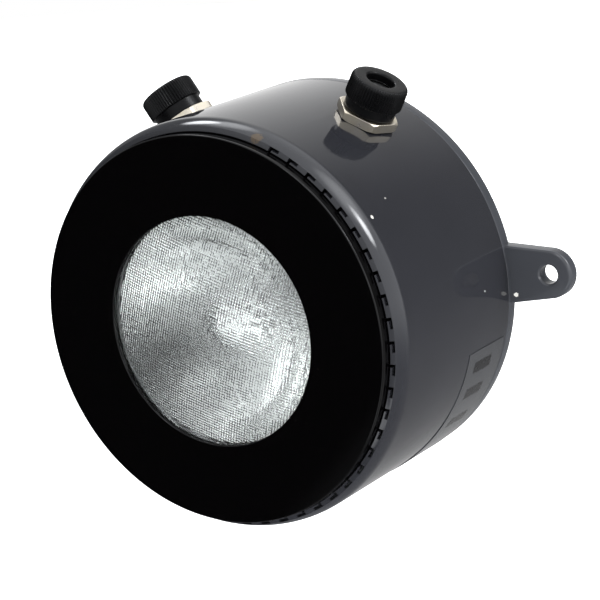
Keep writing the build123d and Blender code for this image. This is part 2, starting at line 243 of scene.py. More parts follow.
class Finish:
    """A procedural material round one Principled shader."""

    def __init__(self, name, color, roughness, metallic=0.0, **settings):
        self.material = bpy.data.materials.new(name)
        self.material.use_nodes = True
        self.tree = self.material.node_tree
        self.shader = self.tree.nodes["Principled BSDF"]
        self.color = color
        self.set("Base Color", (*color, 1.0))
        self.set("Roughness", roughness)
        self.set("Metallic", metallic)
        for socket, value in settings.items():
            self.set(socket.replace("_", " "), value)
        place = self.node("ShaderNodeTexCoord")
        self.place = place.outputs["Object"]

    def set(self, socket, value):
        self.shader.inputs[socket].default_value = value

    def node(self, kind, inputs=None, **settings):
        return add_node(self.tree, kind, inputs, settings)

    def drive(self, socket, source):
        self.tree.links.new(source, self.shader.inputs[socket])

    def noise(self, scale, detail=3.0, roughness=0.5, vector=None):
        inputs = {"Vector": vector or self.place, "Scale": scale, "Detail": detail}
        inputs["Roughness"] = roughness
        return self.node("ShaderNodeTexNoise", inputs).outputs["Fac"]

    def stretched(self, x, y, z):
        inputs = {0: self.place, 1: (x, y, z)}
        return self.node("ShaderNodeVectorMath", inputs, operation="MULTIPLY").outputs[0]

    def remap(self, source, from_low, from_high, to_low, to_high):
        inputs = {0: source, 1: from_low, 2: from_high, 3: to_low, 4: to_high}
        return self.node("ShaderNodeMapRange", inputs).outputs[0]

    def math(self, operation, a, b):
        return self.node("ShaderNodeMath", {0: a, 1: b}, operation=operation).outputs[0]

    def mix(self, factor, a, b):
        mixer = self.node("ShaderNodeMix", {0: factor}, data_type="RGBA")
        for index, value in ((6, a), (7, b)):
            if isinstance(value, bpy.types.NodeSocket):
                self.tree.links.new(value, mixer.inputs[index])
            else:
                mixer.inputs[index].default_value = (*value, 1.0)
        return mixer.outputs[2]

    def bump(self, height, distance, strength=1.0, below=None):
        inputs = {"Height": height, "Distance": distance, "Strength": strength}
        if below:
            inputs["Normal"] = below
        return self.node("ShaderNodeBump", inputs).outputs["Normal"]

    def tone(self, factor, low, high):
        """The base colour between two brightnesses of itself."""
        dark = tuple(c * low for c in self.color)
        light = tuple(c * high for c in self.color)
        return self.mix(factor, dark, light)

    def spots(self, places, raggedness=0.5):
        """1 inside ragged spots, each (x, y, z, radius), and 0 outside."""
        wobble = self.node("ShaderNodeTexNoise", {"Vector": self.place, "Scale": 1500.0})
        total = None
        for x, y, z, radius in places:
            shift = {0: wobble.outputs["Color"], 1: (0.5, 0.5, 0.5)}
            centred = self.node("ShaderNodeVectorMath", shift, operation="SUBTRACT").outputs[0]
            scaled = {0: centred, "Scale": radius * 2 * raggedness}
            moved = self.node("ShaderNodeVectorMath", scaled, operation="SCALE").outputs[0]
            near = self.node("ShaderNodeVectorMath", {0: self.place, 1: moved}, operation="ADD")
            away = {0: near.outputs[0], 1: (x, y, z)}
            distance = self.node("ShaderNodeVectorMath", away, operation="DISTANCE")
            spot = self.math("LESS_THAN", distance.outputs["Value"], radius)
            total = spot if total is None else self.math("MAXIMUM", total, spot)
        return total


def on_drum(degrees_up, h, radius, r=None):
    """A spot for Finish.spots, at an angle and height on the drum."""
    x, y, height = polar(r or DRUM_R, degrees_up, h)
    return (x, -height, y, radius)


def drum_paint():
    """Glossy slate enamel: orange peel, faint smudges, a few chips down to pale primer."""
    paint = Finish("drum_paint", (0.0185, 0.019, 0.0225), 0.09, Specular_IOR_Level=0.5)
    chips = paint.spots(
        [
            on_drum(30.5, FACE_H - 0.0169, 0.0009),
            on_drum(33.7, FACE_H - 0.0339, 0.0004),
            on_drum(-1.0, FACE_H - 0.0834, 0.0004),
            on_drum(104.0, FACE_H - 0.0210, 0.0005),
            on_drum(203.0, FACE_H - 0.0520, 0.0006),
            on_drum(262.0, FACE_H - 0.0850, 0.0005),
        ]
    )
    clouds = paint.noise(26.0, 4.0)
    color = paint.tone(paint.remap(clouds, 0.3, 0.7, 0.0, 1.0), 0.92, 1.08)
    stain = paint.spots([on_drum(68.0, LIP_H - 0.0012, 0.0026, 0.0925)], 0.8)
    color = paint.mix(paint.math("MULTIPLY", stain, 0.75), color, (0.075, 0.048, 0.022))
    paint.drive("Base Color", paint.mix(chips, color, (0.62, 0.60, 0.55)))
    smears = paint.noise(55.0, 5.0, 0.6)
    gloss = paint.remap(smears, 0.35, 0.75, 0.05, 0.12)
    paint.drive("Roughness", paint.math("MAXIMUM", gloss, paint.math("MULTIPLY", chips, 0.6)))
    peel = paint.bump(paint.noise(420.0, 1.0), 0.000012)
    dust = paint.noise(2600.0, 2.0)
    specks = paint.remap(dust, 0.70, 0.74, 0.0, 1.0)
    paint.drive("Normal", paint.bump(specks, 0.00001, 0.4, peel))
    return paint.material


def base_paint():
    paint = Finish("base_paint", (0.042, 0.044, 0.050), 0.12, Specular_IOR_Level=0.5)
    lug_chip = (0.0975, -0.0066, -0.0095, 0.0011)
    chips = paint.spots([lug_chip, (-0.118, -0.0066, 0.0085, 0.0007)])
    clouds = paint.noise(30.0, 4.0)
    color = paint.tone(paint.remap(clouds, 0.3, 0.7, 0.0, 1.0), 0.9, 1.1)
    paint.drive("Base Color", paint.mix(chips, color, (0.78, 0.76, 0.70)))
    gloss = paint.remap(paint.noise(70.0, 5.0, 0.6), 0.35, 0.75, 0.08, 0.2)
    paint.drive("Roughness", paint.math("MAXIMUM", gloss, paint.math("MULTIPLY", chips, 0.6)))
    paint.drive("Normal", paint.bump(paint.noise(380.0, 2.0), 0.00002))
    return paint.material


def front_enamel():
    """Near-black stove enamel with dust specks and very fine wiping marks."""
    paint = Finish("front_enamel", (0.0009, 0.0008, 0.0009), 0.06, Specular_IOR_Level=0.3)
    marks = paint.noise(1.0, 4.0, 0.6, paint.stretched(900.0, 900.0, 60.0))
    gloss = paint.remap(marks, 0.35, 0.75, 0.04, 0.10)
    paint.drive("Roughness", gloss)
    specks = paint.remap(paint.noise(950.0, 3.0, 0.7), 0.745, 0.765, 0.0, 1.0)
    paint.drive("Base Color", paint.mix(specks, paint.color, (0.09, 0.08, 0.07)))
    paint.drive("Normal", paint.bump(paint.noise(300.0, 1.0), 0.000008))
    return paint.material


def zinc_steel():
    metal = Finish("zinc_steel", (0.52, 0.53, 0.54), 0.35, 1.0)
    spangle = metal.noise(240.0, 3.0, 0.6)
    metal.drive("Base Color", metal.tone(spangle, 0.75, 1.15))
    metal.drive("Roughness", metal.remap(spangle, 0.2, 0.8, 0.28, 0.48))
    metal.drive("Normal", metal.bump(metal.noise(900.0, 2.0), 0.00001))
    return metal.material


def nickel_brass():
    """Nickel plate, slightly yellow, with machining lines and dulled patches."""
    metal = Finish("nickel_brass", (0.78, 0.71, 0.62), 0.2, 1.0)
    tarnish = metal.noise(170.0, 4.0, 0.6)
    metal.drive("Base Color", metal.mix(tarnish, (0.86, 0.80, 0.74), (0.62, 0.55, 0.38)))
    metal.drive("Roughness", metal.remap(tarnish, 0.3, 0.8, 0.26, 0.44))
    lines = metal.noise(1.0, 3.0, 0.5, metal.stretched(500.0, 4000.0, 500.0))
    metal.drive("Normal", metal.bump(lines, 0.000012, 0.6))
    return metal.material


def black_nylon():
    plastic = Finish("black_nylon", (0.0026, 0.0026, 0.0029), 0.35, Specular_IOR_Level=0.16)
    wear = plastic.noise(260.0, 4.0, 0.6)
    plastic.drive("Base Color", plastic.tone(wear, 0.6, 1.6))
    plastic.drive("Roughness", plastic.remap(wear, 0.3, 0.8, 0.24, 0.42))
    plastic.drive("Normal", plastic.bump(plastic.noise(2400.0, 3.0), 0.000015))
    return plastic.material


def glossy_nylon():
    plastic = Finish("glossy_nylon", (0.005, 0.005, 0.005), 0.12, Specular_IOR_Level=0.5)
    wear = plastic.noise(300.0, 3.0)
    plastic.drive("Base Color", plastic.tone(wear, 0.7, 1.5))
    plastic.drive("Roughness", plastic.remap(wear, 0.3, 0.8, 0.08, 0.2))
    plastic.drive("Normal", plastic.bump(plastic.noise(900.0, 2.0), 0.00001))
    return plastic.material


def clear_glass():
    glass = Finish("clear_glass", (0.965, 0.985, 0.975), 0.0, IOR=1.51, Transmission_Weight=1.0)
    film = glass.noise(120.0, 3.0)
    glass.drive("Base Color", glass.mix(film, (0.95, 0.975, 0.962), (0.985, 0.995, 0.99)))
    glass.drive("Roughness", glass.remap(film, 0.4, 0.8, 0.0, 0.02))
    glass.drive("Normal", glass.bump(glass.noise(90.0, 2.0), 0.00004))
    return glass.material


def silvered_glass():
    mirror = Finish("silvered_glass", (0.93, 0.93, 0.92), 0.04, 1.0)
    haze = mirror.noise(60.0, 4.0)
    mirror.drive("Base Color", mirror.mix(haze, (0.95, 0.95, 0.945), (0.86, 0.87, 0.86)))
    mirror.drive("Roughness", mirror.remap(haze, 0.3, 0.8, 0.02, 0.09))
    mirror.drive("Normal", mirror.bump(mirror.noise(130.0, 2.0), 0.00006))
    return mirror.material


def tungsten():
    metal = Finish("filament_wire", (0.36, 0.35, 0.34), 0.4, 1.0)
    grain = metal.noise(900.0, 2.0)
    metal.drive("Base Color", metal.tone(grain, 0.7, 1.2))
    metal.drive("Roughness", metal.remap(grain, 0.2, 0.8, 0.3, 0.5))
    return metal.material


def terminal_brass():
    metal = Finish("terminal_brass", (0.72, 0.50, 0.20), 0.3, 1.0)
    tarnish = metal.noise(280.0, 4.0)
    metal.drive("Base Color", metal.mix(tarnish, (0.78, 0.56, 0.25), (0.42, 0.27, 0.11)))
    metal.drive("Roughness", metal.remap(tarnish, 0.3, 0.8, 0.2, 0.5))
    metal.drive("Normal", metal.bump(metal.noise(1500.0, 2.0), 0.00001))
    return metal.material


def phenolic():
    plastic = Finish("phenolic", (0.045, 0.022, 0.012), 0.35)
    flow = plastic.noise(130.0, 5.0, 0.65)
    plastic.drive("Base Color", plastic.tone(flow, 0.5, 1.7))
    plastic.drive("Roughness", plastic.remap(flow, 0.3, 0.8, 0.28, 0.5))
    plastic.drive("Normal", plastic.bump(plastic.noise(1200.0, 2.0), 0.00001))
    return plastic.material


def seal_rubber():
    rubber = Finish("seal_rubber", (0.012, 0.012, 0.012), 0.6)
    bloom = rubber.noise(220.0, 5.0, 0.6)
    rubber.drive("Base Color", rubber.tone(bloom, 0.6, 2.0))
    rubber.drive("Roughness", rubber.remap(bloom, 0.3, 0.8, 0.5, 0.8))
    rubber.drive("Normal", rubber.bump(rubber.noise(1800.0, 3.0), 0.00002))
    return rubber.material


def sleeved_lead(name, color):
    sleeve = Finish(name, color, 0.5)
    weave = sleeve.node(
        "ShaderNodeTexWave",
        {"Vector": sleeve.place, "Scale": 900.0, "Distortion": 2.0, "Detail": 2.0},
        bands_direction="DIAGONAL",
    ).outputs["Fac"]
    sleeve.drive("Base Color", sleeve.tone(weave, 0.7, 1.2))
    sleeve.drive("Roughness", sleeve.remap(weave, 0.0, 1.0, 0.4, 0.65))
    sleeve.drive("Normal", sleeve.bump(weave, 0.00004))
    return sleeve.material


def label_foil():
    foil = Finish("label_foil", (0.036, 0.037, 0.040), 0.14)
    cloud = foil.noise(60.0, 4.0)
    foil.drive("Base Color", foil.tone(cloud, 0.92, 1.1))
    foil.drive("Roughness", foil.remap(cloud, 0.3, 0.8, 0.1, 0.22))
    foil.drive("Normal", foil.bump(foil.noise(240.0, 2.0), 0.00003))
    return foil.material


def label_ink():
    ink = Finish("label_ink", (0.006, 0.006, 0.007), 0.25)
    cover = ink.noise(500.0, 4.0)
    ink.drive("Base Color", ink.tone(cover, 0.7, 1.8))
    ink.drive("Roughness", ink.remap(cover, 0.3, 0.8, 0.18, 0.34))
    return ink.material


def pale_floor():
    floor = Finish("pale_floor", (0.93, 0.93, 0.93), 0.9)
    floor.set("Emission Color", (1.0, 1.0, 1.0, 1.0))
    floor.set("Emission Strength", 1.0)
    return floor.material


MATERIALS = {
    "drum_paint": drum_paint(),
    "base_paint": base_paint(),
    "front_enamel": front_enamel(),
    "zinc_steel": zinc_steel(),
    "nickel_brass": nickel_brass(),
    "black_nylon": black_nylon(),
    "clear_glass": clear_glass(),
    "silvered_glass": silvered_glass(),
    "filament_wire": tungsten(),
    "terminal_brass": terminal_brass(),
    "phenolic": phenolic(),
    "seal_rubber": seal_rubber(),
    "live_lead": sleeved_lead("live_lead", (0.12, 0.03, 0.01)),
    "neutral_lead": sleeved_lead("neutral_lead", (0.02, 0.04, 0.14)),
    "label_foil": label_foil(),
}
SLOT_OF = {part["node"]: part["material_slot"] for part in frame["record"]["subparts"]}
BODY_OF = {
    node: body
    for body, members in frame["record"]["behaviour"]["bodies"].items()
    for node in members
}


def stand_for(piece, node, material=None):
    """The piece takes the CAD node's place, body and material slot."""
    piece.data.materials.clear()
    piece.data.materials.append(material or MATERIALS[SLOT_OF[node]])
    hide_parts(node)
    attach(piece, BODY_OF[node])
    return piece


# ---- drum ----
LIP_IN_R = 0.090
LIP_OUT_R = 0.0924
LIP_THICK = 0.0016
LIP_SLOPE = 0.0009
SHOULDER_H = LIP_H - 0.0044
SHOULDER_ROUND = 0.0172
INNER_SHOULDER_H = LIP_H - 0.0075
INNER_SHOULDER_ROUND = 0.006
GLAND_HOLE_R = 0.0102

# Slits go round the lip clockwise, in degrees. None are cut across the top.
FINGERS = 55
FINGER_START = 4.2
PLAIN_FINGERS = range(33, 46)
SLIT_REACH = 3.2
SLIT_MOUTH = 0.95
SLIT_OUT_R = LIP_OUT_R - 0.00015
SLIT_IN_R = LIP_OUT_R - 0.0015


def lip_slit(index):
    """One L-shaped slit: a radial cut, then an arm clockwise under the lip's outer edge."""
    start, steps = FINGER_START - 360 * index / FINGERS, 6
    mouth_end, mouth_r = start - SLIT_MOUTH, LIP_IN_R - 0.001
    arc = [start - SLIT_REACH * k / steps for k in range(steps + 1)]
    back = [a for a in reversed(arc) if a < mouth_end - 0.01]
    flat = [(SLIT_OUT_R, a) for a in arc] + [(SLIT_IN_R, a) for a in back]
    flat += [(SLIT_IN_R, mouth_end), (mouth_r, mouth_end), (mouth_r, start)]
    low, high = LIP_H - LIP_THICK - 0.0006, LIP_H + 0.002
    return prism_shape([[polar(r, a, h) for r, a in flat] for h in (low, high)])


def drum_shell():
    """A tube with a rounded shoulder and a slit lip that leans a little forward inside."""
    inner_r, lip_corner_r = DRUM_R - WALL, LIP_OUT_R - 0.0013
    section = rounded(
        (DRUM_R, JOINT_H, 0.0004),
        (DRUM_R, SHOULDER_H, SHOULDER_ROUND),
        (LIP_OUT_R, LIP_H, 0.00025),
        (LIP_IN_R, LIP_H + LIP_SLOPE, 0.0002),
        (LIP_IN_R, LIP_H + LIP_SLOPE - LIP_THICK, 0),
        (lip_corner_r, LIP_H - LIP_THICK, 0),
        (inner_r, INNER_SHOULDER_H, INNER_SHOULDER_ROUND),
        (inner_r, JOINT_H, 0),
        steps=10,
    )
    drum = turned("drum", section, 720)
    cuts = [lip_slit(i) for i in range(FINGERS) if i not in PLAIN_FINGERS]
    for side in SIDES:
        cuts.append(cylinder_shape(GLAND_HOLE_R, -0.008, 0.004, place=gland_place(side)))
    combine(drum, cuts, "DIFFERENCE")
    return stand_for(drum, "drum_shell")


# ---- base ----
LUG_THICK = 0.0065
LUG_HOLE_R = 0.0045
LUG_END_R = 0.0115
LUG_X = LUG_TIP_X - LUG_END_R
LUG_ROOT_X = 0.086
LUG_ROOT_HALF = 0.0147
LUG_ROUND = 0.0016
LUG_MOUTH = 0.0008
BASE_FLOOR_H = 0.005
SPIGOT_IN_R = 0.0888
SEAL_GROOVE_R = 0.0909
SEAL_GROOVE_H = (0.010, 0.012)
BASE_SCREW_R = 0.084
BASE_SCREW_ANGLES = (30, 150, 210, 330)


def lug_loop(side, inset, h, steps=40):
    """The lug's outline at one height, drawn in from its edge by inset."""
    end_r = LUG_END_R - inset
    half = LUG_ROOT_HALF - inset
    reach = LUG_X - LUG_ROOT_X
    tangent = atan2(half, -reach) - acos(end_r / hypot(reach, half))
    arc = [tangent * (2 * k / steps - 1) for k in range(steps + 1)]
    outline = [(LUG_ROOT_X, -half)]
    outline += [(LUG_X + end_r * cos(a), end_r * sin(a)) for a in arc]
    outline.append((LUG_ROOT_X, half))
    return [(side * x, y, h) for x, y in outline]


def lug_shape(side):
    """A lug with a broken back edge and a rounded front one."""
    steps, back_edge = 6, 0.0003
    loops = [lug_loop(side, back_edge, 0), lug_loop(side, 0, back_edge)]
    for k in range(steps + 1):
        a = pi / 2 * k / steps
        inset = LUG_ROUND * (1 - cos(a))
        loops.append(lug_loop(side, inset, LUG_THICK - LUG_ROUND + LUG_ROUND * sin(a)))
    return prism_shape(loops)


def base_plate():
    """A dished cover with a seal groove in its spigot, two lugs and countersunk screw holes."""
    spigot_r, spigot_h = DRUM_R - WALL - 0.0002, 0.016
    groove_low, groove_high = SEAL_GROOVE_H
    section = rounded(
        (0, 0, 0),
        (DRUM_R, 0, 0.0025),
        (DRUM_R, JOINT_H, 0.0004),
        (spigot_r, JOINT_H, 0),
        (spigot_r, groove_low, 0),
        (SEAL_GROOVE_R, groove_low, 0),
        (SEAL_GROOVE_R, groove_high, 0),
        (spigot_r, groove_high, 0),
        (spigot_r, spigot_h, 0.0003),
        (SPIGOT_IN_R, spigot_h, 0.0003),
        (SPIGOT_IN_R, BASE_FLOOR_H, 0.0010),
        (0, BASE_FLOOR_H, 0),
    )
    plate = turned("base", section, 360)
    combine(plate, [lug_shape(1), lug_shape(-1)], "UNION")
    bores, mouths = [], []
    for x in (LUG_X, -LUG_X):
        bores.append(cylinder_shape(LUG_HOLE_R, -0.005, 0.02, x))
        low, high = LUG_THICK - LUG_MOUTH - 0.0001, LUG_THICK + 0.0002
        top_r = LUG_HOLE_R + LUG_MOUTH + 0.0002
        mouths.append(cylinder_shape(LUG_HOLE_R - 0.0001, low, high, x, top_r=top_r))
    for angle in BASE_SCREW_ANGLES:
        x, y, _ = polar(BASE_SCREW_R, angle, 0)
        bores.append(cylinder_shape(0.00215, -0.001, 0.02, x, y))
        mouths.append(cylinder_shape(0.0043, -0.0001, 0.0022, x, y, top_r=0.0021))
    combine(plate, bores, "DIFFERENCE")
    combine(plate, mouths, "DIFFERENCE")
    return stand_for(plate, "base_plate")


# ---- front ring ----
def front_ring():
    """A flat ring with a skirt that plugs into the drum's lip."""
    skin, skirt_in_r = 0.0025, RING_R - 0.002
    section = rounded(
        (OPENING_R, FACE_H, 0.0005),
        (RING_R, FACE_H, 0.0006),
        (RING_R, SPIGOT_H, 0.0003),
        (skirt_in_r, SPIGOT_H, 0.0003),
        (skirt_in_r, FACE_H - skin, 0.0006),
        (OPENING_R, FACE_H - skin, 0.0003),
        steps=7,
    )
    return stand_for(turned("front_ring_shell", section, 360), "front_ring")


# ---- lamp ----
LENS_DOME_R = 0.053
LENS_DOME_H = LENS_TOP_H - 0.00544
LENS_RIM_H = LENS_TOP_H - 0.009
LENS_SHOULDER_R = 0.0559
LENS_IN_R = 0.055
LENS_IN_TOP_H = LENS_TOP_H - 0.004
LENS_IN_RISE = 0.00664
BOWL_R = 0.053
PRISM_PITCH = 0.0013
PRISM_TURN = radians(-20)
PRISM_RISE = 0.00056
PRISM_UNEVEN = 0.45
PRISM_R = 0.0536
PRISM_FADE = 0.0008
PRISM_STEPS = 4


def cap_height(r, edge_r, edge_h, top_h):
    """Height of a spherical cap at a radius."""
    rise = top_h - edge_h
    ball = (edge_r**2 + rise**2) / (2 * rise)
    return top_h - ball + sqrt(ball**2 - r**2)


def lens_inside(r):
    return cap_height(r, LENS_IN_R, LENS_IN_TOP_H - LENS_IN_RISE, LENS_IN_TOP_H)


def prism_depth(u, v):
    """Pillows in rows, each pressed to its own depth by a hash of its column and row."""
    pillow = abs(cos(pi * u / PRISM_PITCH)) + abs(cos(pi * v / PRISM_PITCH))
    column, row = round(u / PRISM_PITCH), round(v / PRISM_PITCH)
    chance = (sin(column * 12.9898 + row * 78.233) * 43758.5453) % 1.0
    return PRISM_RISE * (1 - PRISM_UNEVEN * chance) * pillow / 2


def prism_field():
    """The lens's inner face out to PRISM_R, as a square grid of pillow prisms."""
    step = PRISM_PITCH / PRISM_STEPS
    reach = int(PRISM_R / step)
    ids, points, faces = {}, [], []
    for i in range(-reach, reach + 1):
        for k in range(-reach, reach + 1):
            u, v = i * step, k * step
            r = hypot(u, v)
            if r > PRISM_R:
                continue
            x = u * cos(PRISM_TURN) - v * sin(PRISM_TURN)
            y = u * sin(PRISM_TURN) + v * cos(PRISM_TURN)
            fade = min(1.0, (PRISM_R - r) / PRISM_FADE)
            ids[i, k] = len(points)
            points.append(LAMP @ Vector((x, y, lens_inside(r) - fade * prism_depth(u, v))))
    for i, k in ids:
        corners = [(i, k), (i + 1, k), (i + 1, k + 1), (i, k + 1)]
        if all(corner in ids for corner in corners):
            faces.append([ids[corner] for corner in corners])
    return shape_from(points, faces)


def lamp_lens():
    """A dome over an elliptical shoulder, its inside bridged to the field of prisms."""
    collar_r = PRISM_R + 0.0006
    section = [(collar_r, lens_inside(collar_r)), (LENS_IN_R, lens_inside(LENS_IN_R))]
    section += [(LENS_IN_R, LENS_SEAT_H), (LAMP_R, LENS_SEAT_H), (LAMP_R, LENS_RIM_H)]
    reach, rise = LENS_SHOULDER_R - LENS_DOME_R, LENS_DOME_H - LENS_RIM_H
    shoulder_rings, dome_rings = 8, 30
    for k in range(shoulder_rings):
        a = pi / 2 * k / shoulder_rings
        section.append((LENS_DOME_R + reach * cos(a), LENS_RIM_H + rise * sin(a)))
    for k in range(dome_rings + 1):
        r = LENS_DOME_R * cos(pi / 2 * k / dome_rings)
        section.append((r, cap_height(r, LENS_DOME_R, LENS_DOME_H, LENS_TOP_H)))
    whole = joined([turned_shape(section, 256, closed=False), prism_field()])
    bmesh.ops.delete(whole, geom=[v for v in whole.verts if not v.link_faces], context="VERTS")
    bmesh.ops.remove_doubles(whole, verts=whole.verts, dist=1e-7)
    bmesh.ops.bridge_loops(whole, edges=[e for e in whole.edges if e.is_boundary])
    return stand_for(finish_shape("prismatic_lens", whole, 45), "lamp_lens")


def lamp_reflector():
    """A silvered paraboloid, its outside following the inside down to a flat boss."""
    vertex_h, back_h, seat_h = 0.050, 0.047, 0.102
    rim_out, boss_r, boss_h = 0.0532, 0.014, 0.046
    post_r, post_x = 0.00085, 0.005
    inside, rings = [], 48
    for k in range(rings + 1):
        r = BOWL_R * k / rings
        inside.append((r, vertex_h + (LENS_SEAT_H - vertex_h) * (r / BOWL_R) ** 2))
    four_f = rim_out**2 / (seat_h - back_h)
    outside = []
    for k in range(rings + 1):
        r = rim_out + (boss_r - rim_out) * k / rings
        outside.append((r, back_h + r**2 / four_f))
    section = inside + [(LAMP_R, LENS_SEAT_H), (LAMP_R, seat_h)] + outside
    section += [(boss_r, boss_h), (0, boss_h)]
    bowl = turned("reflector", section, 256)
    holes = [cylinder_shape(post_r, 0.04, 0.06, x) for x in (-post_x, post_x)]
    combine(bowl, holes, "DIFFERENCE")
    return stand_for(bowl, "lamp_reflector")


def tube_along(name, route, radius, sides=8):
    """A closed round wire through the points of a route."""
    points = []
    for i, here in enumerate(route):
        ahead = route[min(i + 1, len(route) - 1)] - route[max(i - 1, 0)]
        turn = ahead.to_track_quat("Z", "Y")
        for k in range(sides):
            a = tau * k / sides
            points.append(here + turn @ Vector((radius * cos(a), radius * sin(a), 0)))
    faces = grid_faces(len(route), sides, wrap_columns=False)
    faces.append(tuple(range(sides)))
    faces.append(tuple(range((len(route) - 1) * sides, len(route) * sides)))
    return finish_shape(name, shape_from(points, faces))


def lamp_filament():
    """A coil that fills the plain filament's box, from end to end along x."""
    low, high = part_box("lamp_filament")
    centre, wire_r, turns, per_turn = (low + high) / 2, 0.00013, 14, 16
    coil_r = (high.z - low.z) / 2 - wire_r
    span = high.x - low.x - 2 * wire_r
    route = []
    for k in range(turns * per_turn + 1):
        share, a = k / (turns * per_turn), tau * k / per_turn
        along = centre.x + span * (share - 0.5)
        route.append(Vector((along, centre.y + coil_r * cos(a), centre.z + coil_r * sin(a))))
    return stand_for(tube_along("filament_coil", route, wire_r), "lamp_filament")


# ---- glands ----
THREAD_R = 0.010
THREAD_PITCH = 0.0015
THREAD_DEPTH = 0.0005
THREAD_LOW = -0.0030
THREAD_HIGH = 0.0127
NUT_FLATS = 0.026
NUT_THICK = 0.0043
NUT_SPIN = {"left": radians(-4.7), "right": radians(-16.8)}
CAP_R = 0.01345
CAP_TOP = 0.0203
CAP_RIBS = 64
RIB_DEPTH = 0.0006
SKIRT_R = 0.012
RIB_LOW = 0.0098


def threaded(r, h, a):
    """Cuts a helical vee into the body's outside, fading out at its flange and its top."""
    if r < THREAD_R - 1e-6 or not THREAD_LOW < h < THREAD_HIGH:
        return r
    phase, run_out = (h / THREAD_PITCH - a / tau) % 1.0, 0.001
    fade = min(1.0, (h - THREAD_LOW) / run_out, (THREAD_HIGH - h) / run_out)
    return r - THREAD_DEPTH * fade * abs(2 * phase - 1)


def gland_body(side):
    """A threaded stem with a flange inside the drum and a counterbore for the seal."""
    flange_r, bore_r, seat_r = 0.0135, 0.007, 0.0086
    flange_low, flange_high, seat_h, top = -0.0065, -0.0032, 0.008, 0.013
    section = rounded(
        (bore_r, flange_low, 0.0005),
        (flange_r, flange_low, 0.0005),
        (flange_r, flange_high, 0.0005),
        (THREAD_R, flange_high, 0),
        (THREAD_R, top, 0.0003),
        (seat_r, top, 0.0002),
        (seat_r, seat_h, 0),
        (bore_r, seat_h, 0.0003),
    )
    start = section.index((THREAD_R, flange_high))
    rings, length = 110, top - 0.0003 - flange_high
    run = [(THREAD_R, flange_high + length * k / rings) for k in range(1, rings)]
    section[start + 1:start + 1] = run
    piece = turned(f"gland_stem_{side}", section, 96, gland_place(side), radius=threaded)
    return stand_for(piece, f"gland_body_{side}")


def gland_locknut(side):
    """A thin hexagon nut, chamfered at both faces where its corners pass the inner circle."""
    bore, half, per_side = THREAD_R + 0.00005, NUT_FLATS / 2, 14
    flat_r, slope = half + 0.0007, tan(radians(30))
    corner_r, lead = half / cos(radians(30)) - 0.0002, 0.0005
    count, loops = 6 * per_side, []
    for i in range(count):
        a = tau * i / count
        reach = min(half / cos((a % radians(60)) - radians(30)), corner_r)
        drop = max(0.0001, (reach - flat_r) * slope)
        spin = a + NUT_SPIN[side]
        top_r = min(flat_r, reach - 0.0001)
        section = (
            (bore, lead), (bore + lead, 0.0), (top_r, 0.0), (reach, drop),
            (reach, NUT_THICK - drop), (top_r, NUT_THICK), (bore + lead, NUT_THICK),
            (bore, NUT_THICK - lead),
        )
        loops.append([(r * cos(spin), r * sin(spin), h) for r, h in section])
    place = gland_place(side)
    points = [place @ Vector(p) for loop in loops for p in loop]
    shape = shape_from(points, grid_faces(count, len(loops[0])))
    piece = finish_shape(f"locknut_{side}", shape, 20)
    soften(piece, 0.00018)
    return stand_for(piece, f"gland_locknut_{side}")


def soften(piece, width, angle=24):
    """Small rounded edges, as tumbling and plating leave them."""
    bevel = piece.modifiers.new("soften", "BEVEL")
    bevel.width = width
    bevel.segments = 2
    bevel.limit_method = "ANGLE"
    bevel.angle_limit = radians(angle)
    bevel.harden_normals = True


def ribbed(r, h, a):
    """Cuts grooves between the cap's ribs, fading out below them and toward the crown."""
    if r < SKIRT_R + 0.0002 or h < RIB_LOW:
        return r
    share = min(1.0, (CAP_R + 0.0001 - r) / -0.002 + 1.0, (h - RIB_LOW) / 0.0003 + 0.3)
    return r - RIB_DEPTH * max(0.0, share) * (0.5 - 0.5 * cos(CAP_RIBS * a)) ** 0.7


def gland_cap(side):
    """A ribbed cap over a plain skirt, with a rounded crown and a cable hole."""
    bottom, hole_r, inner_r, roof = NUT_THICK + 0.0003, 0.0066, 0.01007, 0.0165
    section = rounded(
        (inner_r, bottom, 0.0003),
        (SKIRT_R, bottom, 0.0004),
        (SKIRT_R, RIB_LOW - 0.0002, 0.0002),
        (CAP_R, RIB_LOW, 0.0006),
        (CAP_R, CAP_TOP, 0.0022),
        (hole_r, CAP_TOP, 0.0011),
        (hole_r, roof, 0.0002),
        (inner_r, roof, 0.0002),
        steps=8,
    )
    place = gland_place(side)
    piece = turned(f"gland_cap_shell_{side}", section, CAP_RIBS * 10, place, radius=ribbed)
    return stand_for(piece, f"gland_cap_{side}")


def gland_seal(side):
    low, high, seal_r, bore_r = 0.008, 0.0153, 0.0085, 0.0055
    section = rounded(
        (bore_r, low, 0.0008),
        (seal_r, low, 0.0006),
        (seal_r, high, 0.0006),
        (bore_r, high, 0.0008),
    )
    piece = turned(f"gland_grommet_{side}", section, 96, gland_place(side))
    return stand_for(piece, f"gland_seal_{side}")


def gland_slip_ring(side):
    low, high, hole_r, rim_r = 0.0155, 0.0164, 0.0069, 0.0098
    section = rounded(
        (hole_r, low, 0.0003),
        (rim_r, low, 0.0002),
        (rim_r, high, 0.0002),
        (hole_r, high, 0.0003),
    )
    piece = turned(f"gland_washer_ring_{side}", section, 96, gland_place(side))
    return stand_for(piece, f"gland_slip_ring_{side}", glossy_nylon())


# ---- label ----
# Angles on the drum are degrees up from +X.
LABEL_LOW_H = -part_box("label_plate")[1].y
LABEL_HIGH_H = -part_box("label_plate")[0].y
LABEL_START = -17.3
LABEL_END = -73.3
LABEL_THICK = 0.0003
LABEL_R = DRUM_R + LABEL_THICK
BAR_LOW_H = 0.0205
BAR_HIGH_H = 0.0365
BAR_SPANS = ((-20.8, -24.4), (-29.4, -33.0), (-40.0, -43.6))


